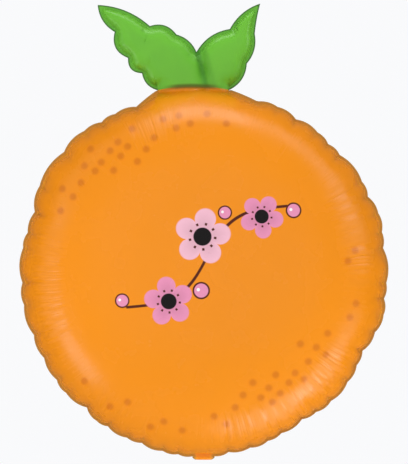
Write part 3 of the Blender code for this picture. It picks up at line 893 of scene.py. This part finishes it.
def film_material(name, centre):
    """Printed foil: orange body with pores and a sprig, green leaves, dark sealed edge; painted light on the
    seal band, and painted shade along the leaves' edges, in their valley and under their crease.
    """
    material = bpy.data.materials.new(name)
    material.use_nodes = True
    nodes = Nodes(material.node_tree)
    shader = material.node_tree.nodes["Principled BSDF"]
    place = nodes.add("ShaderNodeTexCoord").outputs["Object"]
    moved = nodes.add("ShaderNodeVectorMath", {"operation": "SUBTRACT"},
                      {0: place, 1: tuple(centre)}).outputs["Vector"]
    split = nodes.add("ShaderNodeSeparateXYZ", {}, {0: moved})
    x, z = split.outputs["X"], split.outputs["Z"]
    flat_point = nodes.add("ShaderNodeCombineXYZ", {}, {0: x, 1: 0.0, 2: z}).outputs[0]
    radius = nodes.add("ShaderNodeVectorMath", {"operation": "LENGTH"}, {0: flat_point}).outputs["Value"]
    angle = nodes.math("ARCTAN2", z, x)
    from_edge = nodes.add("ShaderNodeAttribute", {"attribute_name": "from_edge"}).outputs["Fac"]

    tone = nodes.noise(moved, 9.0)
    orange = nodes.blend(nodes.smooth(radius, 0.150, 0.200), ORANGE, ORANGE_RIM)
    orange = nodes.blend(nodes.smooth(tone, 0.35, 0.75, 0.0, 0.10), orange, ORANGE_RIM)
    orange = nodes.blend(nodes.math("MULTIPLY", pore_mask(nodes, flat_point), 0.85), orange, PORE)
    orange = painted_sprig(nodes, orange, x, z)
    # Painted light: the seal band is lightened to this orange
    orange = nodes.blend(nodes.smooth(from_edge, 0.0068, 0.0040), orange, SEAL_PAINTED_LIGHT)
    orange = nodes.blend(nodes.smooth(from_edge, 0.0058, 0.0010, 0.0, 0.66), orange, EDGE_BROWN)

    lean = nodes.noise(moved, 26.0)
    green = nodes.blend(nodes.smooth(lean, 0.40, 0.72, 0.0, 0.20), LEAF_GREEN, LEAF_SHADE)
    # Painted shade: a darker green band along the leaves' sealed edge
    green = nodes.blend(nodes.smooth(from_edge, 0.0060, 0.0034, 0.0, 0.25), green, LEAF_SHADE)
    valley = leaf_valley(nodes, x, z)
    # Painted shade in the valley between the leaves and on the right leaf's flank
    green = nodes.blend(nodes.math("MULTIPLY", valley, 0.85), green, VALLEY_SHADE_GREEN)
    green = nodes.blend(nodes.smooth(from_edge, 0.0021, 0.0008, 0.0, 0.9), green, EDGE_GREEN)

    above, crease = leaf_line(nodes, x, z)
    # Painted shade on the body under the leaves' crease
    under = nodes.math("MULTIPLY", nodes.smooth(above, -0.016, -0.003),
                       nodes.smooth(nodes.math("ABSOLUTE", nodes.math("ADD", x, 0.012)), 0.048, 0.030))
    orange = nodes.blend(nodes.math("MULTIPLY", under, 0.75), orange, UNDER_LEAF_SHADE)
    on_leaf = nodes.smooth(above, -0.0005, 0.0005)
    colour = nodes.blend(on_leaf, orange, green)
    # The olive crease line: print, and painted shade where the leaves fold into the body
    colour = nodes.blend(nodes.math("MULTIPLY", crease, 0.85), colour, CREASE_PRINT_AND_SHADE)
    nodes.feed(shader.inputs["Base Color"], colour)

    streak_angle = nodes.add("ShaderNodeCombineXYZ", {}, {0: nodes.math("MULTIPLY", angle, STREAKS),
                                                          1: nodes.math("MULTIPLY", radius, 9.0)})
    streaks = nodes.noise(streak_angle.outputs[0], 1.0, 1.5, 0.5)
    band = nodes.math("MULTIPLY", streak_zones(nodes, angle), streak_band(nodes, radius))
    fine = nodes.noise(moved, 240.0, 3.0, 0.6)
    height = nodes.math("MULTIPLY_ADD", nodes.math("MULTIPLY", streaks, band), STREAK_HEIGHT,
                        nodes.math("MULTIPLY", fine, 0.00003))
    bump = nodes.add("ShaderNodeBump", {}, {"Height": height, "Strength": 0.55, "Distance": 1.0})
    nodes.feed(shader.inputs["Normal"], bump.outputs[0])
    rough = nodes.smooth(nodes.noise(moved, 30.0, 3.0), 0.3, 0.7, 0.23, 0.29)
    worn = nodes.math("MULTIPLY", nodes.smooth(streaks, 0.40, 0.62, 0.0, STREAK_ROUGHNESS), band)
    rough = nodes.math("ADD", rough, worn)
    rough = nodes.math("MULTIPLY_ADD", on_leaf, 0.09, rough)
    rough = nodes.math("MULTIPLY_ADD", nodes.math("MULTIPLY", valley, on_leaf), 0.35, rough)
    nodes.feed(shader.inputs["Roughness"], rough)
    shader.inputs["Metallic"].default_value = 0.0
    shader.inputs["Specular IOR Level"].default_value = 0.35
    return material


def sleeve_material():
    """Clear soft valve film."""
    material = bpy.data.materials.new("valve_film")
    material.use_nodes = True
    nodes = Nodes(material.node_tree)
    shader = material.node_tree.nodes["Principled BSDF"]
    place = nodes.add("ShaderNodeTexCoord").outputs["Object"]
    cloud = nodes.noise(place, 60.0, 3.0)
    nodes.feed(shader.inputs["Base Color"],
               nodes.blend(nodes.smooth(cloud, 0.3, 0.7), srgb(222, 222, 216), srgb(236, 236, 232)))
    nodes.feed(shader.inputs["Roughness"], nodes.smooth(cloud, 0.3, 0.7, 0.30, 0.42))
    bump = nodes.add("ShaderNodeBump", {}, {"Height": nodes.math("MULTIPLY", cloud, 0.0004),
                                            "Strength": 0.5, "Distance": 1.0})
    nodes.feed(shader.inputs["Normal"], bump.outputs[0])
    return material


def add_camera(centre):
    """The camera, level with the photo's middle and square to the balloon's seam."""
    camera = bpy.data.cameras.new("camera")
    camera.sensor_fit = "VERTICAL"
    camera.sensor_height = SENSOR
    camera.lens = CAMERA_DISTANCE * SENSOR / (IMAGE_SIZE[1] * PIXEL)
    camera.clip_end = 60.0
    thing = bpy.data.objects.new("camera", camera)
    bpy.context.scene.collection.objects.link(thing)
    thing.location = (centre[0] + CAMERA_ASIDE, centre[1] - CAMERA_DISTANCE, centre[2] + CAMERA_UP)
    thing.rotation_euler = (math.pi / 2, 0.0, 0.0)
    bpy.context.scene.camera = thing


# Soft boxes round the balloon: name, degrees round it, length, how far behind the seam, and radiance
BOX_REACH = 1.05
BOX_WIDTH = 0.28
BOXES = (
    ("top", 94.0, 0.80, 0.13, 3.4), ("upper_right", 55.0, 0.74, 0.12, 1.4), ("right", 19.0, 0.60, 0.06, 2.3),
    ("lower_right", -54.0, 0.92, 0.03, 4.5), ("lower_side", -24.0, 0.36, 0.03, 1.2),
    ("bottom", -81.0, 0.24, 0.03, 0.8), ("lower_left", 207.0, 0.68, -0.12, 3.0),
    ("left", 173.0, 0.74, -0.06, 0.9), ("upper_left", 140.0, 0.70, 0.10, 0.4),
)


def add_boxes(centre):
    """Narrow soft boxes in a ring, that lay a band of highlight inside the balloon's rim."""
    for name, degrees, length, behind, radiance in BOXES:
        light = bpy.data.lights.new("box_" + name, "AREA")
        light.shape = "RECTANGLE"
        light.size = length
        light.size_y = BOX_WIDTH
        light.energy = radiance * math.pi * length * BOX_WIDTH
        thing = bpy.data.objects.new("box_" + name, light)
        bpy.context.scene.collection.objects.link(thing)
        angle = math.radians(degrees)
        away = Vector((math.cos(angle), 0.0, math.sin(angle)))
        along = Vector((-math.sin(angle), 0.0, math.cos(angle)))
        thing.location = Vector(centre) + away * BOX_REACH + Vector((0.0, behind, 0.0))
        thing.rotation_euler = Matrix((along, away.cross(along), away)).transposed().to_euler()
        thing.visible_camera = False


# Broad lights: name, place, size, and energy
FILLS = (
    ("front", (0.0, -3.4, 0.3), 9.0, 179.0), ("upper_left", (-2.8, -1.2, 1.5), 4.0, 8.0),
    ("back", (0.0, 3.4, 0.6), 6.0, 150.0),
)


def add_fills(centre):
    """Broad soft light on the front and back, that the film doesn't mirror."""
    for name, place, size, energy in FILLS:
        light = bpy.data.lights.new("fill_" + name, "AREA")
        light.shape = "DISK"
        light.size = size
        light.energy = energy
        thing = bpy.data.objects.new("fill_" + name, light)
        bpy.context.scene.collection.objects.link(thing)
        thing.location = Vector(centre) + Vector(place)
        thing.rotation_euler = (-Vector(place)).to_track_quat("-Z", "Y").to_euler()
        thing.visible_camera = False
        thing.visible_glossy = False


def add_world():
    """Soft light all round, stronger from the front, and near white where the camera sees it."""
    world = bpy.data.worlds.new("studio")
    world.use_nodes = True
    bpy.context.scene.world = world
    nodes = Nodes(world.node_tree)
    tree = world.node_tree
    output = [n for n in tree.nodes if n.type == "OUTPUT_WORLD"][0]
    base = [n for n in tree.nodes if n.type == "BACKGROUND"][0]
    direction = nodes.add("ShaderNodeTexCoord").outputs["Generated"]
    y = nodes.add("ShaderNodeSeparateXYZ", {}, {0: direction}).outputs["Y"]
    base.inputs["Color"].default_value = (1.0, 1.0, 1.0, 1.0)
    nodes.feed(base.inputs["Strength"], nodes.smooth(y, -0.35, 0.55, 0.42, 0.08))
    seen = nodes.add("ShaderNodeBackground", {}, {0: (0.95, 0.955, 0.97, 1.0), 1: 1.0})
    path = nodes.add("ShaderNodeLightPath").outputs["Is Camera Ray"]
    mix = nodes.add("ShaderNodeMixShader", {}, {0: path, 1: base.outputs[0], 2: seen.outputs[0]})
    tree.links.new(mix.outputs[0], output.inputs["Surface"])


FLOOR_DROP = 1.0
FLOOR_RADIUS = 3.0


def add_floor(centre):
    """A pale floor under the balloon that fades out before its edge."""
    mesh = bpy.data.meshes.new("floor")
    count = 96
    ring = [(centre[0] + FLOOR_RADIUS * math.cos(math.tau * i / count),
             centre[1] + FLOOR_RADIUS * math.sin(math.tau * i / count), -FLOOR_DROP) for i in range(count)]
    mesh.from_pydata(ring, [], [tuple(range(count))])
    floor = bpy.data.objects.new("floor", mesh)
    bpy.context.scene.collection.objects.link(floor)
    material = bpy.data.materials.new("floor")
    material.use_nodes = True
    nodes = Nodes(material.node_tree)
    shader = material.node_tree.nodes["Principled BSDF"]
    output = [n for n in material.node_tree.nodes if n.type == "OUTPUT_MATERIAL"][0]
    place = nodes.add("ShaderNodeTexCoord").outputs["Object"]
    cloud = nodes.noise(place, 3.0)
    nodes.feed(shader.inputs["Base Color"],
               nodes.blend(nodes.smooth(cloud, 0.3, 0.7), (0.86, 0.865, 0.875, 1.0), (0.89, 0.895, 0.905, 1.0)))
    shader.inputs["Roughness"].default_value = 0.6
    middle = nodes.add("ShaderNodeVectorMath", {"operation": "DISTANCE"},
                       {0: place, 1: (centre[0], centre[1], -FLOOR_DROP)}).outputs["Value"]
    clear = nodes.smooth(middle, FLOOR_RADIUS * 0.55, FLOOR_RADIUS * 0.98)
    see = nodes.add("ShaderNodeBsdfTransparent")
    mix = nodes.add("ShaderNodeMixShader", {}, {0: clear, 1: shader.outputs[0], 2: see.outputs[0]})
    material.node_tree.links.new(mix.outputs[0], output.inputs["Surface"])
    mesh.materials.append(material)
    floor.visible_glossy = False


def build():
    """The balloon's pieces, camera, lights and floor."""
    centre = -mount_point()
    add_camera(centre)
    surfaces, triangles, neck, plan = film_surfaces()
    for name, side, node, slot, vertices in (
            ("front_film", -1.0, "front_panel", "front_film", surfaces[0]),
            ("back_film", 1.0, "back_panel", "back_film", surfaces[1])):
        film = film_object(name, side, vertices, triangles, neck, plan)
        film.data.materials.append(film_material("printed_" + name, centre))
        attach(film, "root")
        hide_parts(node)
    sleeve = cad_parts["valve_sleeve"]
    sleeve.data.materials.clear()
    sleeve.data.materials.append(sleeve_material())
    add_world()
    add_boxes(centre)
    add_fills(centre)
    add_floor(centre)
    bpy.context.scene.view_settings.view_transform = "Standard"


build()
